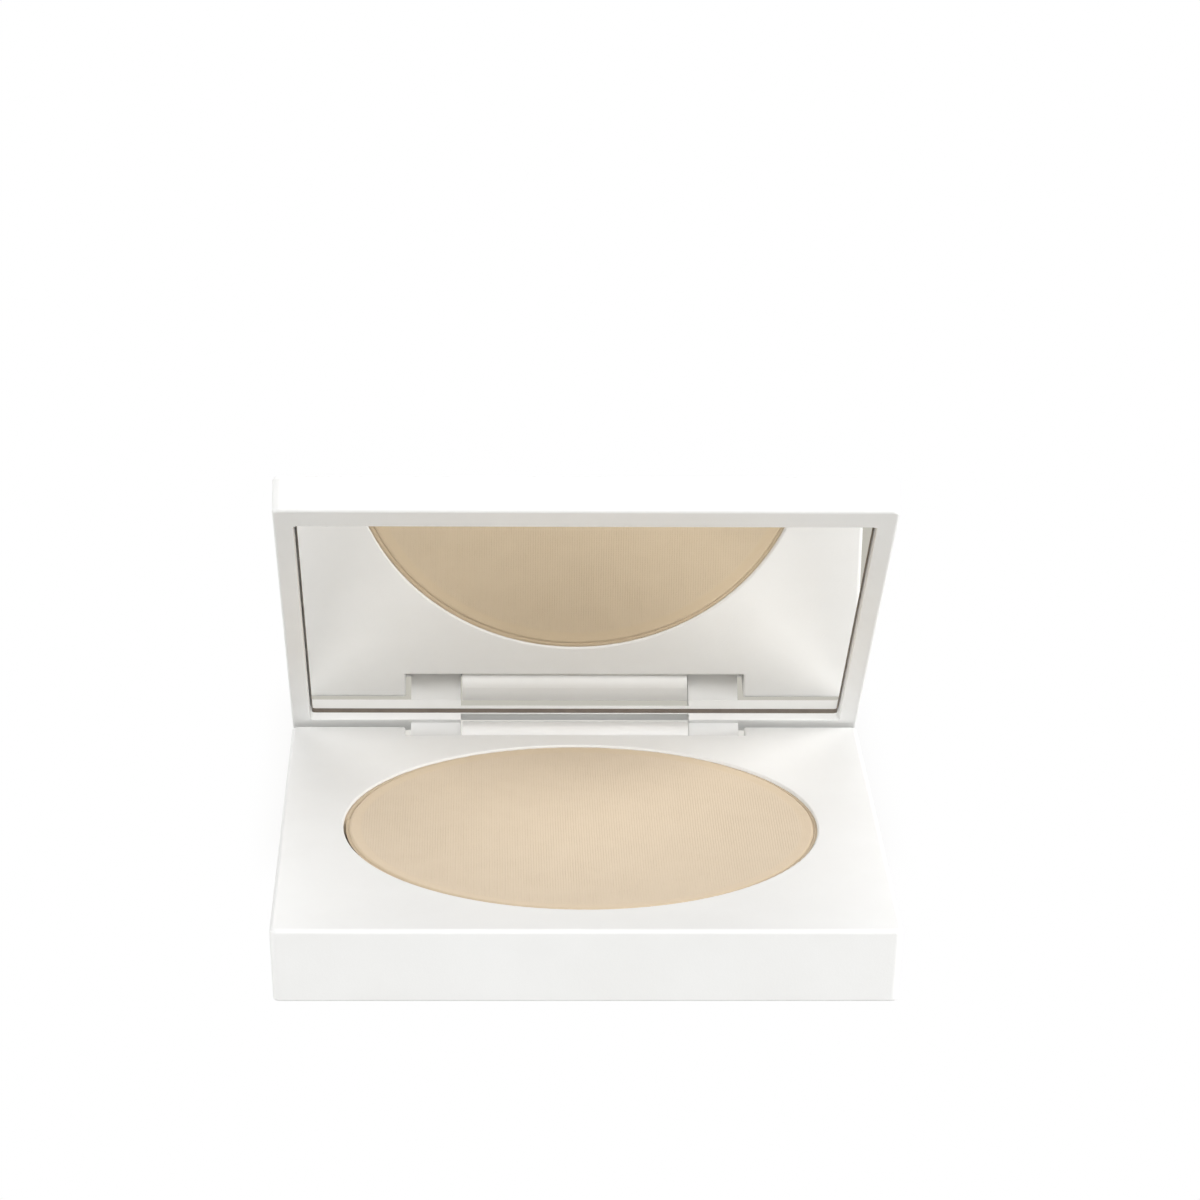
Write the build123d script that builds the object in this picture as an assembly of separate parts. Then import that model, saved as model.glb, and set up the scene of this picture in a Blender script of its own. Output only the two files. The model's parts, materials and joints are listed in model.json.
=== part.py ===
from build123d import *
from math import sqrt
import os

# Powder compact: a shallow square base that holds a round pan of pressed powder,
# and a square lid with a mirror, joined by a hinge sunk into the base's rear edge.
# Frame: millimetres, origin at the centre of the base's underside, +X to the right,
# +Y towards the hinge, +Z up. The lid is drawn closed, then turned open to its rest angle.

# Overall sizes
width = 75.0             # left to right, at the deck
depth = 74.0             # front face to rear face, at the deck
base_height = 9.2        # table to deck
lid_thickness = 4.7
parting_gap = 0.15       # closed lid to deck
open_angle = 39.7        # degrees that the lid stands open at rest

# Base moulding
side_draft = 0.4         # each side is this much further in at the table
corner_radius = 0.9      # upright corners
edge_radius = 0.5        # round along the deck's outer edge
foot_radius = 0.25       # round along the outer edge at the table
base_wall = 1.8
deck_thickness = 1.5
bottom_thickness = 1.2   # closing plate under the base
plate_clearance = 0.05   # closing plate to the walls round it

# Powder well and pan
pan_diameter = 59.0
pan_height = 4.5
pan_wall = 0.35
pan_clearance = 0.2      # radial, pan to well
pan_offset = -0.3        # the well's centre lies this far towards the hinge
pan_shift = 0.12         # the pan is glued in this far to the right of the well's centre
well_wall = 1.3
well_floor = 1.2
well_edge = 0.25         # round along the well's mouth
glue_thickness = 0.2     # double-sided tape under the pan
glue_inset = 3.0         # the tape is this much smaller than the pan, all round
rim_below_deck = 0.45    # pan rim to deck
weld_ring_inset = 4.0    # ring under the well that the closing plate is welded to
weld_ring_width = 1.5

# Pressed powder
powder_above_rim = 0.3   # flat face above the pan rim
powder_step = 0.05       # powder's outer edge above the pan rim
powder_bevel = 1.6       # width of the sloping edge
powder_clearance = 0.02  # radial, powder to pan

# Hinge
axis_inset = 1.1         # hinge axis to rear face
axis_height = 4.4        # hinge axis above the table
pin_radius = 0.5
pin_running = 0.05       # radial, pin to lug
pin_recess = 0.3         # pin's outer end below the side face
pin_grip = 4.0           # pin's length inside the knuckle
lug_radius = 2.05
lug_width = 6.6
hinge_side_gap = 0.2     # lug to knuckle
lug_outer_gap = 0.75     # lug to the notch's end
knuckle_width = 29.9
knuckle_radius = 5.6     # top of the knuckle, about the hinge axis
knuckle_round = 1.5      # bend from the knuckle's front face into its top
knuckle_set_back = 0.3   # knuckle's front face behind the notch's front wall
knuckle_step = 0.6       # the set-back starts this far below the deck
relief_clearance = 1.0   # radial, knuckle to the hollow in the lid over it
notch_clearance = 0.35   # lug barrel to the notch's front wall and floor
notch_wall = 1.5         # walls round the notch, inside the base
lip_radius = 0.3         # round along the notch's edges
rib_wall = 1.0           # plastic round the pin, along the rear wall

# Lid moulding and mirror
lid_edge = 0.4           # round along the lid's outer edges
front_rim = 4.6
side_rim = 2.4
rear_rim = 4.2
recess_corner = 0.6
rim_edge = 0.15          # round along the recess's mouth
mirror_set_back = 0.9    # mirror's face behind the rim's face
mirror_thickness = 1.8
mirror_clearance = 0.25  # all round, mirror to recess
mirror_corner = 0.5
mirror_bevel = 0.2       # ground edge round the mirror's face
tape_thickness = 0.3     # foam tape behind the mirror
tape_inset = 2.0

# Closing magnets, a pair in the base's front and a pair in the lid's front rim
magnet_length = 8.0
magnet_depth = 2.8
magnet_thickness = 1.2
magnet_spread = 20.0     # each magnet's centre from the middle
magnet_clearance = 0.1
pocket_wall = 0.8

# Places worked out from the sizes above
rear_face = depth / 2
axis_y = rear_face - axis_inset
hinge_axis = Axis((0, axis_y, axis_height), (1, 0, 0))
lid_face = base_height + parting_gap
lid_top = lid_face + lid_thickness
mirror_face = lid_face + mirror_set_back
recess_top = mirror_face + mirror_thickness + tape_thickness
recess_width = width - 2 * side_rim
recess_depth = depth - front_rim - rear_rim
recess_y = (front_rim - rear_rim) / 2
pan_radius = pan_diameter / 2
well_radius = pan_radius + pan_clearance
pan_rim = base_height - rim_below_deck
pan_base = pan_rim - pan_height
well_bottom = pan_base - glue_thickness
hollow_top = base_height - deck_thickness
lug_inner = knuckle_width / 2 + hinge_side_gap
lug_outer = lug_inner + lug_width
notch_half = lug_outer + lug_outer_gap
notch_front = axis_y - lug_radius - notch_clearance
notch_floor = axis_height - lug_radius - notch_clearance
magnet_y = -(rear_face - base_wall - magnet_clearance - magnet_depth / 2)
pin_inner = knuckle_width / 2 - pin_grip
pin_outer = width / 2 - pin_recess


def block(x0, x1, y0, y1, z0, z1):
    """Box between two corners."""
    centre = ((x0 + x1) / 2, (y0 + y1) / 2, (z0 + z1) / 2)
    return Pos(*centre) * Box(x1 - x0, y1 - y0, z1 - z0)


def slab(size_x, size_y, radius, centre_y, z0, z1):
    """Plate with rounded upright corners, from z0 up to z1."""
    outline = Plane((0, centre_y, z0)) * RectangleRounded(size_x, size_y, radius)
    return extrude(outline, z1 - z0)


def disc(radius, z0, z1, shift=0.0):
    """Round plate on the well's centre line, or shifted to the right of it."""
    return Pos(shift, pan_offset, (z0 + z1) / 2) * Cylinder(radius, z1 - z0)


def cross_bar(radius, x0, x1):
    """Round bar on the hinge axis."""
    return Pos((x0 + x1) / 2, axis_y, axis_height) * Rot(0, 90, 0) * Cylinder(radius, x1 - x0)


def mirrored(shape):
    """The same shape on the other side of the middle plane."""
    return mirror(shape, Plane.YZ)


def edges_at(shape, along, **places):
    """Straight edges along one axis whose centres have the given x, y or z."""
    found = shape.edges().filter_by(along)
    for letter, value in places.items():
        found = [e for e in found if abs(getattr(e.center(), letter.upper()) - value) < 0.01]
    return ShapeList(found)


def base_block():
    """The base's outer form: four drafted sides, rounded corners and edges."""
    foot = Plane.XY * RectangleRounded(width - 2 * side_draft, depth - 2 * side_draft, corner_radius)
    deck = Plane.XY.offset(base_height) * RectangleRounded(width, depth, corner_radius)
    form = loft([foot, deck])
    form = fillet(form.faces().sort_by(Axis.Z)[-1].edges(), edge_radius)
    return fillet(form.faces().sort_by(Axis.Z)[0].edges(), foot_radius)


def knuckle():
    """Fixed middle knuckle: rises over the deck as an arc about the hinge axis."""
    half = knuckle_width / 2
    face_y = notch_front + knuckle_set_back
    bend_reach = face_y + knuckle_round - axis_y
    bend_start = axis_height + sqrt((knuckle_radius - knuckle_round) ** 2 - bend_reach**2)
    arch_top = axis_height + knuckle_radius
    arch = block(-half, half, face_y, rear_face, notch_floor, arch_top)
    arch &= cross_bar(knuckle_radius, -half, half)
    arch = fillet(edges_at(arch, Axis.X, y=face_y).sort_by(Axis.Z)[-1:], knuckle_round)
    upper = arch & block(-half, half, face_y, rear_face, bend_start, arch_top)
    lower = block(-half, half, face_y, rear_face, notch_floor, bend_start) & base_block()
    step = block(-half, half, notch_front, face_y, notch_floor, base_height - knuckle_step)
    return lower + upper + step


def magnet_pocket():
    """Three low walls under the deck that hold the right-hand base magnet."""
    out_x = magnet_length / 2 + magnet_clearance
    out_y = magnet_y + magnet_depth / 2 + magnet_clearance
    wall_face = -(rear_face - base_wall)
    low = hollow_top - magnet_thickness
    near, far = magnet_spread - out_x, magnet_spread + out_x
    walls = block(near - pocket_wall, far + pocket_wall, wall_face, out_y + pocket_wall, low, hollow_top)
    return walls - block(near, far, wall_face, out_y, low, hollow_top)


def pin_rib():
    """Rib along the right half of the rear wall that the hinge pin is driven through."""
    reach = pin_radius + rib_wall
    start, stop = notch_half + notch_wall, width / 2 - base_wall
    return block(start, stop, axis_y - reach, rear_face - base_wall, axis_height - reach, axis_height + reach)


def base_body():
    """Deck, side walls, powder well and hinge notch in one moulding, open underneath."""
    inner_x, inner_y = width / 2 - base_wall, rear_face - base_wall
    body = base_block() - block(-inner_x, inner_x, -inner_y, inner_y, 0, hollow_top)
    body += disc(well_radius + well_wall, well_bottom - well_floor, hollow_top)
    ring = well_radius - weld_ring_inset
    body += disc(ring, bottom_thickness, well_bottom) - disc(ring - weld_ring_width, 0, well_bottom)
    body += disc(well_radius, well_bottom - well_floor, well_bottom)
    side = notch_half + notch_wall
    body += block(-side, side, notch_front - notch_wall, inner_y, bottom_thickness, hollow_top)
    body += pin_rib() + mirrored(pin_rib()) + magnet_pocket() + mirrored(magnet_pocket())
    body -= disc(well_radius, well_bottom, base_height)
    body -= block(-notch_half, notch_half, notch_front, depth, notch_floor, lid_top)
    mouth = body.edges().filter_by(GeomType.CIRCLE).filter_by_position(Axis.Z, base_height, base_height)
    body = fillet(mouth.filter_by(lambda e: abs(e.radius - well_radius) < 0.01), well_edge)
    lip = edges_at(body, Axis.X, y=notch_front, z=base_height)
    for x in (-notch_half, notch_half):
        lip += edges_at(body, Axis.Y, x=x, z=base_height)
    body = fillet(lip, lip_radius)
    body += knuckle()
    hole = cross_bar(pin_radius, pin_inner, width)
    return body - hole - mirrored(hole)


def base_bottom():
    """Flat plate that closes the base from below, flush with the walls."""
    size_x = width - 2 * (base_wall + plate_clearance)
    size_y = depth - 2 * (base_wall + plate_clearance)
    return slab(size_x, size_y, plate_clearance, 0, 0, bottom_thickness)


def pan_tape():
    """Disc of double-sided tape between the well's floor and the pan."""
    return disc(pan_radius - glue_inset, well_bottom, pan_base, pan_shift)


def powder_pan():
    """Pressed aluminium pan."""
    pressing = disc(pan_radius, pan_base, pan_rim, pan_shift)
    return pressing - disc(pan_radius - pan_wall, pan_base + pan_wall, pan_rim, pan_shift)


def powder_cake():
    """Pressed powder: fills the pan, its flat face raised over a sloping edge."""
    radius = pan_radius - pan_wall - powder_clearance
    shoulder = pan_rim + powder_step
    face = pan_rim + powder_above_rim
    profile = Polyline(
        (0, pan_base + pan_wall),
        (radius, pan_base + pan_wall),
        (radius, shoulder),
        (radius - powder_bevel, face),
        (0, face),
        close=True,
    )
    cake = revolve(Plane.XZ * make_face(profile), Axis.Z)
    return Pos(pan_shift, pan_offset, 0) * cake


def hinge_pin(side):
    """Steel pin driven in from one side, through the lug and into the knuckle."""
    pin = cross_bar(pin_radius, pin_inner, pin_outer)
    return pin if side > 0 else mirrored(pin)


def base_magnet(side):
    """Bar magnet glued up under the deck, behind the front wall."""
    x = side * magnet_spread
    return Pos(x, magnet_y, hollow_top - magnet_thickness / 2) * Box(
        magnet_length, magnet_depth, magnet_thickness
    )


def opened(shape):
    """A closed-lid shape, turned about the hinge axis to the rest angle."""
    return shape.rotate(hinge_axis, -open_angle)


def lug():
    """Right-hand lid lug: a barrel round the pin and a neck up to the rear rim."""
    barrel = cross_bar(lug_radius, lug_inner, lug_outer)
    neck_top = lid_face + rim_edge + lid_edge
    neck = block(lug_inner, lug_outer, axis_y - lug_radius, rear_face, axis_height, neck_top)
    solid = (barrel + neck) & block(lug_inner, lug_outer, 0, rear_face, 0, lid_top)
    return solid - cross_bar(pin_radius + pin_running, lug_inner, lug_outer)


def magnet_slot():
    """Slot into the lid's front rim from the recess, behind the mirror's front edge."""
    out_x = magnet_length / 2 + magnet_clearance
    near_y = magnet_y - magnet_depth / 2 - magnet_clearance
    low = recess_top - magnet_thickness - magnet_clearance
    return block(magnet_spread - out_x, magnet_spread + out_x, near_y, 0, low, recess_top)


def lid_shell():
    """Lid moulding: flat outer plate, rim round the mirror recess, two hinge lugs."""
    shell = slab(width, depth, corner_radius, 0, lid_face, lid_top)
    shell = fillet(shell.faces().sort_by(Axis.Z)[-1].edges(), lid_edge)
    shell = fillet(shell.faces().sort_by(Axis.Z)[0].edges(), lid_edge)
    shell -= slab(recess_width, recess_depth, recess_corner, recess_y, lid_face, recess_top)
    inner = shell.faces().sort_by(Axis.Z)[0].inner_wires()[0].edges()
    shell = fillet(inner, rim_edge)
    shell -= magnet_slot() + mirrored(magnet_slot())
    shell += lug() + mirrored(lug())
    shell -= cross_bar(knuckle_radius + relief_clearance, -lug_inner, lug_inner)
    return opened(shell)


def mirror_glass():
    """Glass mirror with a narrow ground bevel round its face."""
    size_x = recess_width - 2 * mirror_clearance
    size_y = recess_depth - 2 * mirror_clearance
    glass = slab(size_x, size_y, mirror_corner, recess_y, mirror_face, mirror_face + mirror_thickness)
    return opened(chamfer(glass.faces().sort_by(Axis.Z)[0].edges(), mirror_bevel))


def mirror_tape():
    """Foam tape that holds the mirror in its recess."""
    size_x = recess_width - 2 * (mirror_clearance + tape_inset)
    size_y = recess_depth - 2 * (mirror_clearance + tape_inset)
    return opened(slab(size_x, size_y, mirror_corner, recess_y, recess_top - tape_thickness, recess_top))


def lid_magnet(side):
    """Bar magnet on the floor of its slot in the lid's front rim, over the base's magnet."""
    z = recess_top - magnet_clearance - magnet_thickness / 2
    magnet = Box(magnet_length, magnet_depth, magnet_thickness)
    return opened(Pos(side * magnet_spread, magnet_y, z) * magnet)


parts = {
    "base_body": base_body(),
    "base_bottom": base_bottom(),
    "pan_tape": pan_tape(),
    "powder_pan": powder_pan(),
    "powder_cake": powder_cake(),
    "hinge_pin_left": hinge_pin(-1),
    "hinge_pin_right": hinge_pin(1),
    "base_magnet_left": base_magnet(-1),
    "base_magnet_right": base_magnet(1),
    "lid_shell": lid_shell(),
    "mirror_glass": mirror_glass(),
    "mirror_tape": mirror_tape(),
    "lid_magnet_left": lid_magnet(-1),
    "lid_magnet_right": lid_magnet(1),
}

os.makedirs("parts", exist_ok=True)
for name, shape in parts.items():
    export_step(shape, f"parts/{name}.step")
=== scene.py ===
import json
import math

import bpy
from mathutils import Matrix, Vector, noise


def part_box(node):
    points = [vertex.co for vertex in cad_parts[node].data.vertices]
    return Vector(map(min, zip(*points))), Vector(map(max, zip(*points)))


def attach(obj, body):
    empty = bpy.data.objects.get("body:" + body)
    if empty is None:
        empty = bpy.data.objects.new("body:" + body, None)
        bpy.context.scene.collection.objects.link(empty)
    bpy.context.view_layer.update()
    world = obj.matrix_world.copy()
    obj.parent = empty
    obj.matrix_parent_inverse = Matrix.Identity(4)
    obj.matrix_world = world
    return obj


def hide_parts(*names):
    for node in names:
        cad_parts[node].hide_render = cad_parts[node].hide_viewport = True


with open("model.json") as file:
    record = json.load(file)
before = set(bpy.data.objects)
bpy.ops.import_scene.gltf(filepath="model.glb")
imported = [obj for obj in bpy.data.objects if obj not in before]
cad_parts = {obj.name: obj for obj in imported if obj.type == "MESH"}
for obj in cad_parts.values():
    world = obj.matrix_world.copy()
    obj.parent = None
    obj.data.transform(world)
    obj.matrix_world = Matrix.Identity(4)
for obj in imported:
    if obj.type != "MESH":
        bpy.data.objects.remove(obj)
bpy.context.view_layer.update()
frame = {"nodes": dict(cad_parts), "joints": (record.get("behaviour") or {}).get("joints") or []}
MM = 0.001

# Studio camera: a long lens on a tripod, a little above the table and almost square to the
# compact's front, so that the leaning mirror shows the powder.

CAMERA_PLACE = Vector((-13.15, -558.92, 214.41)) * MM
CAMERA_HEADING = math.radians(1.57)
CAMERA_DOWN = math.radians(17.47)
CAMERA_ROLL = math.radians(0.593)
LENS = 142.23

camera = bpy.data.objects.new("studio_camera", bpy.data.cameras.new("studio_camera"))
camera.data.lens = LENS
camera.data.clip_start = 0.05
heading = Matrix.Rotation(-CAMERA_HEADING, 4, "Z")
tilt = Matrix.Rotation(math.pi / 2 - CAMERA_DOWN, 4, "X")
roll = Matrix.Rotation(CAMERA_ROLL, 4, "Z")
camera.matrix_world = Matrix.Translation(CAMERA_PLACE) @ heading @ tilt @ roll
bpy.context.scene.collection.objects.link(camera)
bpy.context.scene.camera = camera

# Studio light: softboxes on stands to both sides, in front and behind, in a white tent.
# The tent shows in gloss but adds little light of its own. Colours are shown with no film curve.

bpy.context.scene.view_settings.view_transform = "Standard"
TENT_LIGHT = 0.05
TENT_IN_GLOSS = 0.82
LIGHT_AIM = Vector((0, 0, 0.02))


def softbox(name, place, width, height, power):
    """Rectangular soft light at a place, turned to face the compact."""
    lamp = bpy.data.lights.new(name, "AREA")
    lamp.shape = "RECTANGLE"
    lamp.size, lamp.size_y = width, height
    lamp.energy = power
    stand = bpy.data.objects.new(name, lamp)
    stand.location = place
    stand.rotation_euler = (LIGHT_AIM - Vector(place)).to_track_quat("-Z", "Y").to_euler()
    bpy.context.scene.collection.objects.link(stand)


softbox("softbox_right", (1.1, -0.2, 0.55), 0.8, 0.8, 16.4)
softbox("softbox_left", (-1.1, -0.2, 0.55), 0.8, 0.8, 9.0)
softbox("softbox_front_low", (0, -1.4, 0.35), 1.2, 0.7, 6.7)
softbox("softbox_front_high", (0, -1.1, 0.8), 0.9, 0.4, 3.5)
softbox("softbox_back", (0, 0.9, 0.9), 1.2, 0.8, 7.8)


def add(tree, kind, inputs=None, **settings):
    """Adds a node to a tree. Each input gets a value, or the output socket that feeds it."""
    made = tree.nodes.new("ShaderNode" + kind)
    for name, value in settings.items():
        setattr(made, name, value)
    for name, value in (inputs or {}).items():
        if isinstance(value, bpy.types.NodeSocket):
            tree.links.new(value, made.inputs[name])
        else:
            made.inputs[name].default_value = value
    return made


tent = bpy.data.worlds.new("white_tent")
tent.use_nodes = True
tent_rays = add(tent.node_tree, "LightPath")
tent_shown = add(
    tent.node_tree,
    "MapRange",
    {
        "Value": tent_rays.outputs["Is Camera Ray"],
        "To Min": TENT_IN_GLOSS,
        "To Max": 1.0,
    },
)
tent_level = add(
    tent.node_tree,
    "MapRange",
    {
        "Value": tent_rays.outputs["Is Diffuse Ray"],
        "To Min": tent_shown.outputs["Result"],
        "To Max": TENT_LIGHT,
    },
)
tent_cloth = tent.node_tree.nodes["Background"]
tent_cloth.inputs["Color"].default_value = (1, 1, 1, 1)
tent.node_tree.links.new(tent_level.outputs["Result"], tent_cloth.inputs["Strength"])
bpy.context.scene.world = tent

# Table: a sheet of white acrylic lit from below, so that it shows plain white, with a soft patch of
# painted shade behind the compact's back half, painted in a fixed place and not cast. In reflections it
# shows a fixed beige-grey, painted shade for the table lying in the compact's shadow.

TABLE_REACH = 3.0
TABLE_COLOUR = (0.45, 0.45, 0.44, 1)
TABLE_GLOW = 0.04
# Painted shade: the table's look in reflections, a fixed beige-grey for the table in the compact's shadow.
TABLE_IN_MIRROR_PAINTED_SHADE = (0.60, 0.585, 0.53, 1)
# Colour of the painted shade patch on the table, in place of a cast shadow.
PAINTED_SHADE_COLOUR = (0.76, 0.745, 0.70, 1)
PAINTED_SHADE_HALF_WIDTH, PAINTED_SHADE_FROM, PAINTED_SHADE_TO = 44 * MM, 0, 90 * MM
PAINTED_SHADE_EDGE = 22 * MM

table_mesh = bpy.data.meshes.new("table_top")
table_corners = [(x * TABLE_REACH, y * TABLE_REACH, 0) for x, y in ((-1, -1), (1, -1), (1, 1), (-1, 1))]
table_mesh.from_pydata(table_corners, [], [(0, 1, 2, 3)])
table_top = bpy.data.objects.new("table_top", table_mesh)
bpy.context.scene.collection.objects.link(table_top)

acrylic = bpy.data.materials.new("lit_acrylic")
acrylic.use_nodes = True
sheet = acrylic.node_tree
sheet_shader = sheet.nodes["Principled BSDF"]
sheet_shader.inputs["Base Color"].default_value = TABLE_COLOUR
sheet_shader.inputs["Roughness"].default_value = 0.8
sheet_shader.inputs["Emission Color"].default_value = (1, 1, 1, 1)
sheet_shader.inputs["Emission Strength"].default_value = TABLE_GLOW
place = add(sheet, "SeparateXYZ", {"Vector": add(sheet, "TexCoord").outputs["Object"]})
across = add(sheet, "Math", {0: place.outputs["X"]}, operation="ABSOLUTE").outputs[0]


def ramp(tree, value, start, stop):
    """Smooth step of a value, from 0 at start to 1 at stop."""
    reach = {"Value": value, "From Min": start, "From Max": stop}
    return add(tree, "MapRange", reach, interpolation_type="SMOOTHSTEP").outputs["Result"]


def times(tree, first, second):
    """Product of two values."""
    return add(tree, "Math", {0: first, 1: second}, operation="MULTIPLY").outputs[0]


def between(tree, share, first, second):
    """Colour between two others, by a share from 0 to 1."""
    return add(tree, "Mix", {0: share, 6: first, 7: second}, data_type="RGBA").outputs[2]


# Painted shade: a soft patch on the table behind the compact, fixed in place rather than cast.
painted_table_shade = times(
    sheet,
    ramp(sheet, across, PAINTED_SHADE_HALF_WIDTH, PAINTED_SHADE_HALF_WIDTH - PAINTED_SHADE_EDGE),
    times(
        sheet,
        ramp(sheet, place.outputs["Y"], PAINTED_SHADE_FROM, PAINTED_SHADE_FROM + PAINTED_SHADE_EDGE),
        ramp(sheet, place.outputs["Y"], PAINTED_SHADE_TO, PAINTED_SHADE_TO - PAINTED_SHADE_EDGE),
    ),
)
seen_white_and_painted_shade = add(sheet, "Emission", {"Color": between(sheet, painted_table_shade, (1, 1, 1, 1), PAINTED_SHADE_COLOUR)})
# In reflections the table glows a fixed beige-grey: painted shade for the table in the compact's shadow.
mirrored_painted_shade = add(sheet, "Emission", {"Color": TABLE_IN_MIRROR_PAINTED_SHADE})
table_rays = add(sheet, "LightPath")
table_plain = add(sheet, "MixShader", {"Fac": table_rays.outputs["Is Glossy Ray"]})
table_seen = add(sheet, "MixShader", {"Fac": table_rays.outputs["Is Camera Ray"]})
sheet.links.new(sheet_shader.outputs["BSDF"], table_plain.inputs[1])
sheet.links.new(mirrored_painted_shade.outputs["Emission"], table_plain.inputs[2])
sheet.links.new(table_plain.outputs["Shader"], table_seen.inputs[1])
sheet.links.new(seen_white_and_painted_shade.outputs["Emission"], table_seen.inputs[2])
sheet.links.new(table_seen.outputs["Shader"], sheet.nodes["Material Output"].inputs["Surface"])
table_mesh.materials.append(acrylic)

# Base moulding, closing plate and lid moulding: white ABS, injection moulded in tools with a fine
# spark-eroded satin, so the surface has an even grain and a faint slow unevenness of gloss.
# The closing plate is welded in from below.

MOULDING_WHITE = (0.905, 0.905, 0.896, 1)
MOULDING_SHADE = (0.880, 0.878, 0.866, 1)
MOULDED_NODES = ("base_body", "base_bottom", "lid_shell")


def effect(name, inputs, outputs):
    """Empty node group with named sockets. Returns the group and its input and output nodes."""
    group = bpy.data.node_groups.new(name, "ShaderNodeTree")
    for socket, kind, value in inputs:
        made = group.interface.new_socket(socket, in_out="INPUT", socket_type="NodeSocket" + kind)
        made.default_value = value
    for socket, kind in outputs:
        group.interface.new_socket(socket, in_out="OUTPUT", socket_type="NodeSocket" + kind)
    return group, group.nodes.new("NodeGroupInput"), group.nodes.new("NodeGroupOutput")


def new_finish(name, plain=None):
    """New material with values set on its shader. Returns the material, its tree and the shader."""
    made = bpy.data.materials.new(name)
    made.use_nodes = True
    shader = made.node_tree.nodes["Principled BSDF"]
    for socket, value in (plain or {}).items():
        shader.inputs[socket].default_value = value
    return made, made.node_tree, shader


def place_effect(tree, group, values):
    """Puts a node group into a material with its own values."""
    made = tree.nodes.new("ShaderNodeGroup")
    made.node_tree = group
    for socket, value in values.items():
        made.inputs[socket].default_value = value
    return made


def span(tree, value, low, high):
    """Value between low and high, by a share from 0 to 1."""
    return add(tree, "MapRange", {"Value": value, "To Min": low, "To Max": high}).outputs["Result"]


def mottle(tree, place, per_metre, detail, roughness):
    """Cloudy mottling from 0 to 1, with about that many spots in a metre."""
    spots = {"Vector": place, "Scale": per_metre, "Detail": detail, "Roughness": roughness}
    return add(tree, "TexNoise", spots).outputs["Fac"]


def give(tree, shader, bump_depth, colour=None, roughness=None, metallic=None, height=None):
    """Joins the changing colour, roughness, metal and height to the shader; depth in metres."""
    for socket, source in (("Base Color", colour), ("Roughness", roughness), ("Metallic", metallic)):
        if source is not None:
            tree.links.new(source, shader.inputs[socket])
    if height is not None:
        relief = add(tree, "Bump", {"Distance": bump_depth, "Strength": 1.0, "Height": height})
        tree.links.new(relief.outputs["Normal"], shader.inputs["Normal"])


def wear(nodes, finish):
    """Puts a material on CAD nodes."""
    for name in nodes:
        for held in frame["nodes"][name].material_slots:
            held.material = finish


uneven, uneven_in, uneven_out = effect(
    "grained_surface",
    [
        ("Colour", "Color", (1, 1, 1, 1)),
        ("Shade", "Color", (0.9, 0.9, 0.9, 1)),
        ("Gloss Low", "Float", 0.4),
        ("Gloss High", "Float", 0.5),
        ("Grain Per Metre", "Float", 4000.0),
        ("Patches Per Metre", "Float", 70.0),
    ],
    [("Colour", "Color"), ("Roughness", "Float"), ("Height", "Float")],
)
uneven_place = add(uneven, "TexCoord").outputs["Object"]
uneven_grain = mottle(uneven, uneven_place, uneven_in.outputs["Grain Per Metre"], 3.0, 0.6)
uneven_patches = mottle(uneven, uneven_place, uneven_in.outputs["Patches Per Metre"], 4.0, 0.55)
uneven_mask = ramp(uneven, uneven_patches, 0.30, 0.72)
uneven_colour = between(uneven, uneven_mask, uneven_in.outputs["Colour"], uneven_in.outputs["Shade"])
uneven_gloss = span(uneven, uneven_mask, uneven_in.outputs["Gloss Low"], uneven_in.outputs["Gloss High"])
uneven.links.new(uneven_colour, uneven_out.inputs["Colour"])
uneven.links.new(uneven_gloss, uneven_out.inputs["Roughness"])
uneven.links.new(uneven_grain, uneven_out.inputs["Height"])

white_abs, white_tree, white_shader = new_finish(
    "white_abs_satin",
    {"IOR": 1.46, "Specular IOR Level": 0.2},
)
white_grain = place_effect(
    white_tree,
    uneven,
    {
        "Colour": MOULDING_WHITE,
        "Shade": MOULDING_SHADE,
        "Gloss Low": 0.36,
        "Gloss High": 0.47,
        "Grain Per Metre": 4200,
        "Patches Per Metre": 55,
    },
)
give(
    white_tree,
    white_shader,
    0.012 * MM,
    white_grain.outputs["Colour"],
    white_grain.outputs["Roughness"],
    height=white_grain.outputs["Height"],
)
wear(MOULDED_NODES, white_abs)

# Foam tape, under the pan and behind the mirror: off-white acrylic foam with fine cells, die-cut
# and stuck on both sides. It is hidden once the compact is together.

FOAM_CELL = (0.70, 0.69, 0.66, 1)
FOAM_SKIN = (0.84, 0.83, 0.80, 1)

foam, foam_tree, foam_shader = new_finish("acrylic_foam_tape", {"Sheen Weight": 0.1})
foam_cells = add(
    foam_tree,
    "TexVoronoi",
    {"Vector": add(foam_tree, "TexCoord").outputs["Object"], "Scale": 4500.0, "Randomness": 1.0},
)
foam_depth = foam_cells.outputs["Distance"]
foam_tone = between(foam_tree, foam_depth, FOAM_CELL, FOAM_SKIN)
foam_dull = span(foam_tree, foam_depth, 0.75, 0.95)
give(foam_tree, foam_shader, 0.05 * MM, foam_tone, foam_dull, height=foam_depth)
wear(("pan_tape", "mirror_tape"), foam)

# Powder pan: a shallow cup pressed from thin aluminium sheet, stuck to the well's floor. Near its top
# the wall is painted dark brown as painted shade for the narrow gap round the pan, and the rim takes
# the colour of powder dust.

PAN_METAL = (0.62, 0.60, 0.57, 1)
# Dark brown painted shade on the wall's top, in place of the shadow in the gap round the pan.
PAN_GAP_PAINTED_SHADE = (0.20, 0.145, 0.095, 1)
RIM_POWDER = (0.76, 0.62, 0.45, 1)
PAINTED_SHADE_DEPTH = 2.4 * MM

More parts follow.
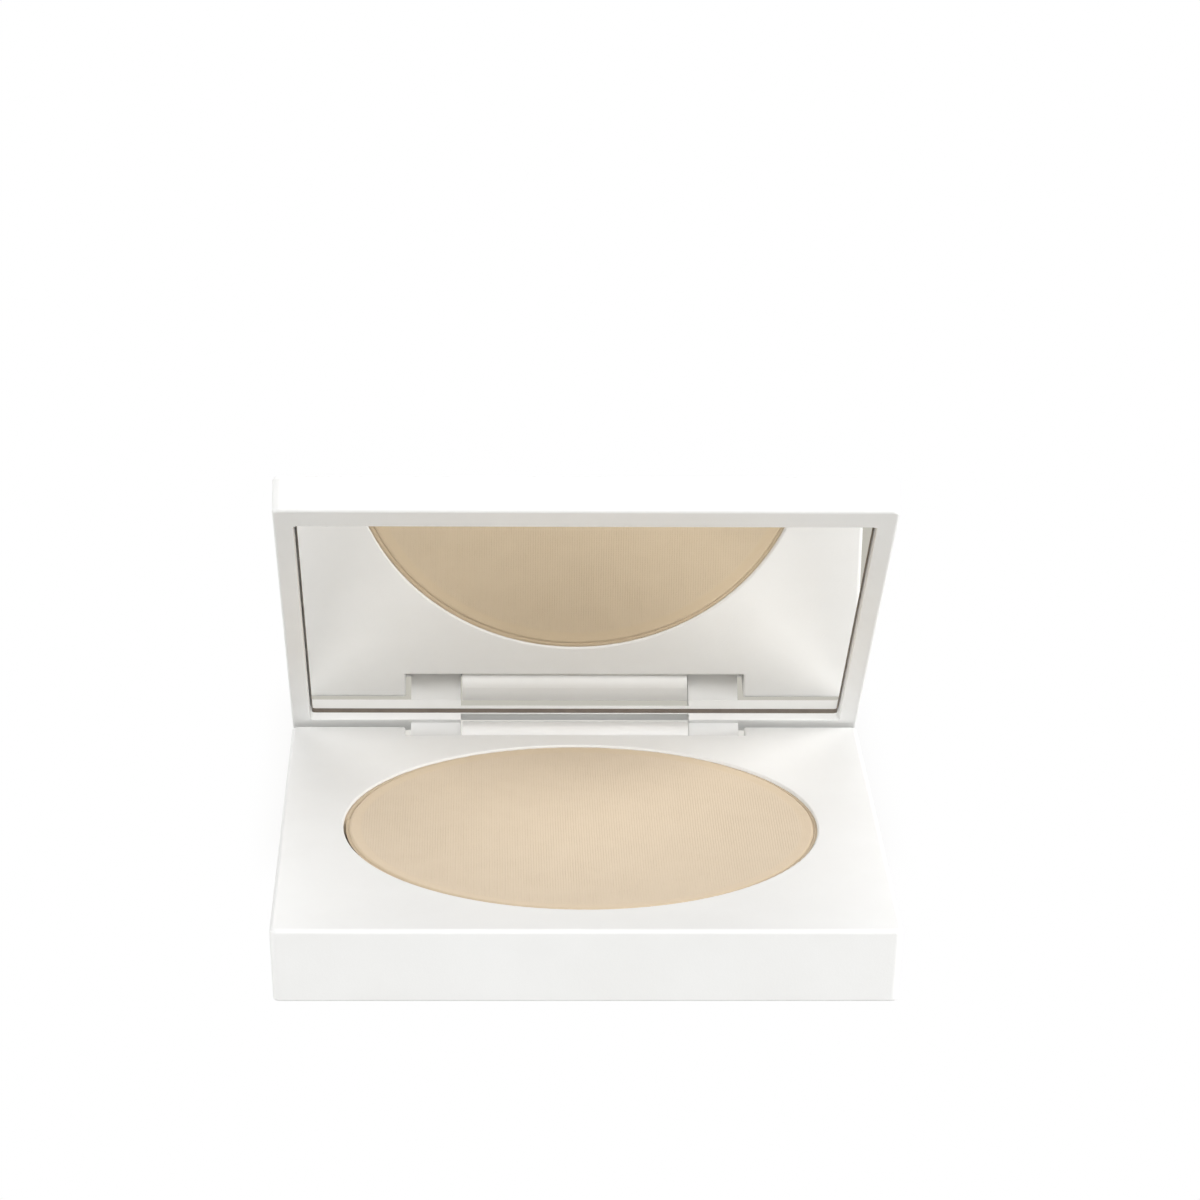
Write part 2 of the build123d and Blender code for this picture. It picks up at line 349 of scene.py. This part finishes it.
pan_low, pan_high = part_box("powder_pan")
pan_alloy, pan_tree, pan_shader = new_finish("pressed_aluminium", {"Anisotropic": 0.2})
pan_place = add(pan_tree, "TexCoord").outputs["Object"]
pan_scuffs = mottle(pan_tree, pan_place, 1600.0, 5.0, 0.7)
pan_rise = add(pan_tree, "SeparateXYZ", {"Vector": pan_place}).outputs["Z"]
painted_shade_line = span(pan_tree, pan_scuffs, pan_high.z - PAINTED_SHADE_DEPTH * 1.5, pan_high.z - PAINTED_SHADE_DEPTH * 0.5)
over_painted_shade_line = add(pan_tree, "Math", {0: pan_rise, 1: painted_shade_line}, operation="SUBTRACT").outputs[0]
dust_and_painted_shade = ramp(pan_tree, over_painted_shade_line, -0.3 * MM, 0.3 * MM)
pan_facing = add(pan_tree, "SeparateXYZ", {"Vector": add(pan_tree, "NewGeometry").outputs["Normal"]})
on_rim = times(pan_tree, ramp(pan_tree, pan_facing.outputs["Z"], 0.4, 0.8), dust_and_painted_shade)
wall_tone = between(pan_tree, dust_and_painted_shade, PAN_METAL, PAN_GAP_PAINTED_SHADE)
give(
    pan_tree,
    pan_shader,
    0.01 * MM,
    between(pan_tree, on_rim, wall_tone, RIM_POWDER),
    span(pan_tree, dust_and_painted_shade, 0.34, 0.9),
    span(pan_tree, dust_and_painted_shade, 1.0, 0.0),
    pan_scuffs,
)
wear(("powder_pan",), pan_alloy)

# Pressed powder: fine beige face powder pressed into the pan through a cloth, which leaves a
# faint weave on its flat face. Along the pan's wall it slopes up to the rim, where it is a little
# crumbled and warmer in colour. Its fine grains shine softly when seen at a slant.

CAKE_SEGMENTS = 360
FACE_RINGS, SLOPE_RINGS = 26, 12
SLOPE_WIDTH = 1.6 * MM
SLOPE_RISE = 0.14 * MM
CRUMBLE = 0.05 * MM
BRINK_WIDTH, BRINK_DROP = 0.3 * MM, 0.2 * MM
FACE_WAVE = 0.012 * MM
EDGE_WANDER = 0.16 * MM
WANDER_SIZE, WAVE_SIZE, CRUMB_SIZE = 1.1 * MM, 6 * MM, 0.45 * MM
WEAVE_PITCH = 0.32 * MM
POWDER_BEIGE = (0.651, 0.536, 0.388, 1)
POWDER_SHADE = (0.615, 0.500, 0.355, 1)
POWDER_EDGE = (0.655, 0.530, 0.368, 1)
POWDER_SHINE = (1.0, 0.88, 0.80, 1)

cake_low, cake_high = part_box("powder_cake")
cake_centre = (cake_low + cake_high) / 2
cake_radius = (cake_high.x - cake_low.x) / 2
slope_start = cake_radius - SLOPE_WIDTH
ring_radii = [slope_start * (i + 1) / FACE_RINGS for i in range(FACE_RINGS)]
ring_radii += [slope_start + SLOPE_WIDTH * (i + 1) / SLOPE_RINGS for i in range(SLOPE_RINGS)]


def powder_height(x, y, radius):
    """Height of the powder's surface at a place and at that distance from the middle."""
    wander = EDGE_WANDER * noise.noise(Vector((x, y, 0)) / WANDER_SIZE)
    slope = max(0.0, min(1.0, (radius - slope_start + wander) / SLOPE_WIDTH))
    soft = slope * slope * (3 - 2 * slope) * 0.5 + slope * 0.5
    brink = max(0.0, 1 - (cake_radius - radius) / BRINK_WIDTH)
    face = FACE_WAVE * (1 + noise.noise(Vector((x, y, 5)) / WAVE_SIZE))
    crumbs = CRUMBLE * abs(noise.fractal(Vector((x, y, 9)) / CRUMB_SIZE, 0.6, 2.0, 3)) * slope
    return cake_high.z - face - SLOPE_RISE * (1 - soft) - BRINK_DROP * brink * brink - crumbs


cake_points = [(cake_centre.x, cake_centre.y, powder_height(0, 0, 0))]
for radius in ring_radii:
    for segment in range(CAKE_SEGMENTS):
        angle = math.tau * segment / CAKE_SEGMENTS
        x, y = radius * math.cos(angle), radius * math.sin(angle)
        cake_points.append((cake_centre.x + x, cake_centre.y + y, powder_height(x, y, radius)))
for segment in range(CAKE_SEGMENTS):
    angle = math.tau * segment / CAKE_SEGMENTS
    x, y = cake_radius * math.cos(angle), cake_radius * math.sin(angle)
    cake_points.append((cake_centre.x + x, cake_centre.y + y, cake_low.z))


def band(first, second, count):
    """Faces between two loops of points that start at these places in the list."""
    return [(first + i, first + (i + 1) % count, second + (i + 1) % count, second + i) for i in range(count)]


cake_faces = [(0, 1 + i, 1 + (i + 1) % CAKE_SEGMENTS) for i in range(CAKE_SEGMENTS)]
for ring in range(len(ring_radii)):
    cake_faces += band(1 + (ring + 1) * CAKE_SEGMENTS, 1 + ring * CAKE_SEGMENTS, CAKE_SEGMENTS)
last_ring = 1 + len(ring_radii) * CAKE_SEGMENTS
cake_faces.append(tuple(last_ring + i for i in reversed(range(CAKE_SEGMENTS))))


def new_piece(name, points, faces, body, finish, smooth=True):
    """Mesh piece that rides on a CAD body and its material."""
    mesh = bpy.data.meshes.new(name)
    mesh.from_pydata(points, [], faces)
    mesh.polygons.foreach_set("use_smooth", [smooth] * len(mesh.polygons))
    mesh.materials.append(finish)
    piece = bpy.data.objects.new(name, mesh)
    bpy.context.scene.collection.objects.link(piece)
    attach(piece, body)
    return piece


pressed, powder_tree, powder_shader = new_finish(
    "pressed_powder",
    {"Specular IOR Level": 0.25, "Sheen Weight": 0.38, "Sheen Tint": POWDER_SHINE},
)
powder_place = add(powder_tree, "TexCoord").outputs["Object"]
powder_grain = mottle(powder_tree, powder_place, 5200.0, 3.0, 0.7)
powder_patches = mottle(powder_tree, powder_place, 240.0, 6.0, 0.62)
weave_scale = math.tau / (20 * WEAVE_PITCH)
warp = add(powder_tree, "TexWave", {"Vector": powder_place, "Scale": weave_scale}, bands_direction="X")
weft = add(powder_tree, "TexWave", {"Vector": powder_place, "Scale": weave_scale}, bands_direction="Y")
for thread in (warp, weft):
    thread.inputs["Distortion"].default_value = 0.6
    thread.inputs["Detail Scale"].default_value = 0.4
cloth = times(powder_tree, warp.outputs["Fac"], span(powder_tree, weft.outputs["Fac"], 0.6, 1.0))
from_middle = add(
    powder_tree,
    "VectorMath",
    {0: powder_place, 1: cake_centre},
    operation="SUBTRACT",
)
from_axis = add(
    powder_tree,
    "VectorMath",
    {0: from_middle.outputs["Vector"], 1: (1, 1, 0)},
    operation="MULTIPLY",
)
from_axis_far = add(
    powder_tree,
    "VectorMath",
    {0: from_axis.outputs["Vector"]},
    operation="LENGTH",
)
reach_out = from_axis_far.outputs["Value"]
edge_ring = ramp(powder_tree, reach_out, slope_start - 0.25 * MM, slope_start + 0.35 * MM)
flat_face = span(powder_tree, edge_ring, 1.0, 0.15)
print_share = ramp(powder_tree, powder_patches, 0.3, 0.65)
print_strength = times(powder_tree, flat_face, span(powder_tree, print_share, 0.6, 1.0))
print_height = times(powder_tree, cloth, print_strength)
speckle = ramp(powder_tree, powder_grain, 0.25, 0.8)
shaded = times(powder_tree, ramp(powder_tree, powder_patches, 0.25, 0.78), speckle)
face_tone = between(powder_tree, shaded, POWDER_BEIGE, POWDER_SHADE)
powder_tone = between(powder_tree, times(powder_tree, edge_ring, 0.85), face_tone, POWDER_EDGE)
grain_height = times(powder_tree, powder_grain, 0.8)
powder_relief = add(powder_tree, "Math", {0: print_height, 1: grain_height}, operation="ADD").outputs[0]
powder_dull = span(powder_tree, powder_patches, 0.82, 0.98)
give(powder_tree, powder_shader, 0.03 * MM, powder_tone, powder_dull, height=powder_relief)
cake = new_piece("pressed_cake", cake_points, cake_faces, "base", pressed)
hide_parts("powder_cake")

# Loose powder: dust from use that has settled on the pan's rim and in the narrow gap between the
# pan and its well. It has fallen away on the front left, where the gap is widest and dark.

WELL_GAP = 0.2 * MM
PAN_OFF_CENTRE = 0.12 * MM
DUST_CLEAR = 0.02 * MM
DUST_FLOOR = 1.6 * MM
DUST_ON_RIM = 0.12 * MM
DUST_UNEVEN = 0.06 * MM
DUST_SPOTS = 40
FALLEN_SIDE = math.radians(222)
FALLEN_DEPTH = 1.4 * MM
FALLEN_FROM, FALLEN_WHOLLY = 0.68, 0.82

pan_radius = (pan_high.x - pan_low.x) / 2


def dust_section(angle):
    """Corners of the dust's section at an angle round the pan, each with its reach and height."""
    aside, along = math.cos(angle), math.sin(angle)
    share = (math.cos(angle - FALLEN_SIDE) - FALLEN_FROM) / (FALLEN_WHOLLY - FALLEN_FROM)
    fallen = max(0.0, min(1.0, share))
    heap = DUST_ON_RIM + DUST_UNEVEN * noise.noise(Vector((aside, along, 2)) * DUST_SPOTS)
    top = pan_high.z + heap * (1 - fallen) - FALLEN_DEPTH * fallen
    under = min(pan_high.z, top) + DUST_CLEAR / 2
    floor = pan_high.z - DUST_FLOOR
    over_rim = cake_radius + (pan_radius - cake_radius) * fallen + DUST_CLEAR
    pan_side = pan_radius + DUST_CLEAR
    well_side = pan_radius + WELL_GAP - PAN_OFF_CENTRE * aside - DUST_CLEAR
    below = [(over_rim, under), (pan_side, under), (pan_side, floor), (well_side, floor)]
    return below + [(well_side, top), (over_rim, top)]


dust_angles = [math.tau * segment / CAKE_SEGMENTS for segment in range(CAKE_SEGMENTS)]
dust_points = []
for corners in zip(*(dust_section(angle) for angle in dust_angles)):
    for angle, (reach, z) in zip(dust_angles, corners):
        x, y = reach * math.cos(angle), reach * math.sin(angle)
        dust_points.append((cake_centre.x + x, cake_centre.y + y, z))
dust_sides = len(dust_points) // CAKE_SEGMENTS
dust_faces = []
for side in range(dust_sides):
    dust_faces += band(side * CAKE_SEGMENTS, (side + 1) % dust_sides * CAKE_SEGMENTS, CAKE_SEGMENTS)
new_piece("loose_powder", dust_points, dust_faces, "base", pressed)

# Hinge pins: two lengths of drawn steel wire, pushed in from the sides through the lid's lugs
# into the knuckle. Only their cut ends show, low on the base's sides near the back.

WIRE_DARK = (0.46, 0.45, 0.44, 1)
WIRE_BRIGHT = (0.66, 0.65, 0.64, 1)
WIRE_STREAK = 0.05

wire, wire_tree, wire_shader = new_finish("drawn_steel_wire", {"Metallic": 1.0})
wire_here = add(wire_tree, "TexCoord").outputs["Object"]
wire_drawn = add(wire_tree, "Mapping", {"Vector": wire_here, "Scale": (WIRE_STREAK, 1, 1)}).outputs["Vector"]
wire_lines = mottle(wire_tree, wire_drawn, 9000.0, 3.0, 0.6)
wire_tone = between(wire_tree, wire_lines, WIRE_DARK, WIRE_BRIGHT)
wire_gloss = span(wire_tree, wire_lines, 0.22, 0.45)
give(wire_tree, wire_shader, 0.006 * MM, wire_tone, wire_gloss, height=wire_lines)
wear(("hinge_pin_left", "hinge_pin_right"), wire)

# Magnets: neodymium bars with bright nickel plating, glued up under the deck and slid into the
# lid's front rim behind the mirror, so that the lid snaps shut.

nickel, nickel_tree, nickel_shader = new_finish("nickel_plating", {"Metallic": 1.0})
nickel_peel = place_effect(
    nickel_tree,
    uneven,
    {
        "Colour": (0.70, 0.68, 0.64, 1),
        "Shade": (0.60, 0.58, 0.54, 1),
        "Gloss Low": 0.14,
        "Gloss High": 0.28,
        "Grain Per Metre": 2500,
        "Patches Per Metre": 400,
    },
)
give(
    nickel_tree,
    nickel_shader,
    0.006 * MM,
    nickel_peel.outputs["Colour"],
    nickel_peel.outputs["Roughness"],
    height=nickel_peel.outputs["Height"],
)
wear(("base_magnet_left", "base_magnet_right", "lid_magnet_left", "lid_magnet_right"), nickel)

# Mirror: a sheet of glass silvered on its back, taped into the lid's recess. The clear glass in
# front of the silvering is left open, and the silvering lies as deep as the glass makes it look.
# Its ground edge is coloured dark brown as painted shade for the narrow gap behind the glass's edge,
# and shows as one thin dark line, so it is kept out of the reflection and the shadows.

SILVER_DEPTH = 0.55 * MM
GLASS_CORNER = 0.5 * MM
CORNER_STEPS = 8
GROUND_WIDTH = 0.14 * MM

hinge = frame["joints"][0]
hinge_place = Matrix.Translation(Vector(hinge["pos_m"]))
lid_swing = Matrix.Rotation(math.radians(-hinge["range_deg"][0]), 4, Vector(hinge["axis"]))
opened = hinge_place @ lid_swing @ hinge_place.inverted()
shut = opened.inverted()
glass_shut = [shut @ v.co for v in frame["nodes"]["mirror_glass"].data.vertices]
glass_low = Vector([min(p[i] for p in glass_shut) for i in range(3)])
glass_high = Vector([max(p[i] for p in glass_shut) for i in range(3)])


def glass_outline(inset, z):
    """Points round the glass, rounded at its corners, that far inside its edge; half at the sides."""
    left, right = glass_low.x, glass_high.x
    front, back = glass_low.y, glass_high.y
    points = []
    for turn, (x, y) in enumerate(((right, back), (left, back), (left, front), (right, front))):
        middle_x = x - math.copysign(GLASS_CORNER, x)
        middle_y = y - math.copysign(GLASS_CORNER, y)
        for step in range(CORNER_STEPS + 1):
            angle = math.pi / 2 * (turn + step / CORNER_STEPS)
            out_x = (GLASS_CORNER - inset / 2) * math.cos(angle)
            out_y = (GLASS_CORNER - inset) * math.sin(angle)
            points.append(opened @ Vector((middle_x + out_x, middle_y + out_y, z)))
    return points


silver_front = glass_low.z + SILVER_DEPTH
loop = 4 * (CORNER_STEPS + 1)
silver_points = glass_outline(0, silver_front) + glass_outline(0, glass_high.z)
silver_faces = [tuple(reversed(range(loop))), tuple(range(loop, 2 * loop))] + band(0, loop, loop)

silvering, silver_tree, silver_shader = new_finish("silvered_glass", {"Metallic": 1.0})
silver_haze = place_effect(
    silver_tree,
    uneven,
    {
        "Colour": (0.880, 0.874, 0.860, 1),
        "Shade": (0.868, 0.862, 0.848, 1),
        "Gloss Low": 0.012,
        "Gloss High": 0.032,
        "Grain Per Metre": 900,
        "Patches Per Metre": 90,
    },
)
give(silver_tree, silver_shader, 0, silver_haze.outputs["Colour"], silver_haze.outputs["Roughness"])
silver = new_piece("mirror_silvering", silver_points, silver_faces, "lid", silvering, smooth=False)

ground, ground_tree, ground_shader = new_finish("ground_glass_edge_painted_shade")
# Dark brown painted shade, in place of the ground glass's own colour.
ground_edge_painted_shade = place_effect(
    ground_tree,
    uneven,
    {
        "Colour": (0.135, 0.108, 0.085, 1),
        "Shade": (0.170, 0.140, 0.112, 1),
        "Gloss Low": 0.5,
        "Gloss High": 0.7,
        "Grain Per Metre": 8000,
        "Patches Per Metre": 900,
    },
)
give(
    ground_tree,
    ground_shader,
    0.01 * MM,
    ground_edge_painted_shade.outputs["Colour"],
    ground_edge_painted_shade.outputs["Roughness"],
    height=ground_edge_painted_shade.outputs["Height"],
)
edge_points = (
    glass_outline(0, glass_low.z)
    + glass_outline(0, silver_front)
    + glass_outline(GROUND_WIDTH, silver_front)
    + glass_outline(GROUND_WIDTH, glass_low.z)
)
edge_faces = []
for side in range(4):
    edge_faces += band(side * loop, (side + 1) % 4 * loop, loop)
ground_edge = new_piece("mirror_ground_edge", edge_points, edge_faces, "lid", ground, smooth=False)
for rays in ("glossy", "diffuse", "shadow"):
    setattr(ground_edge, f"visible_{rays}", False)
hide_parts("mirror_glass")
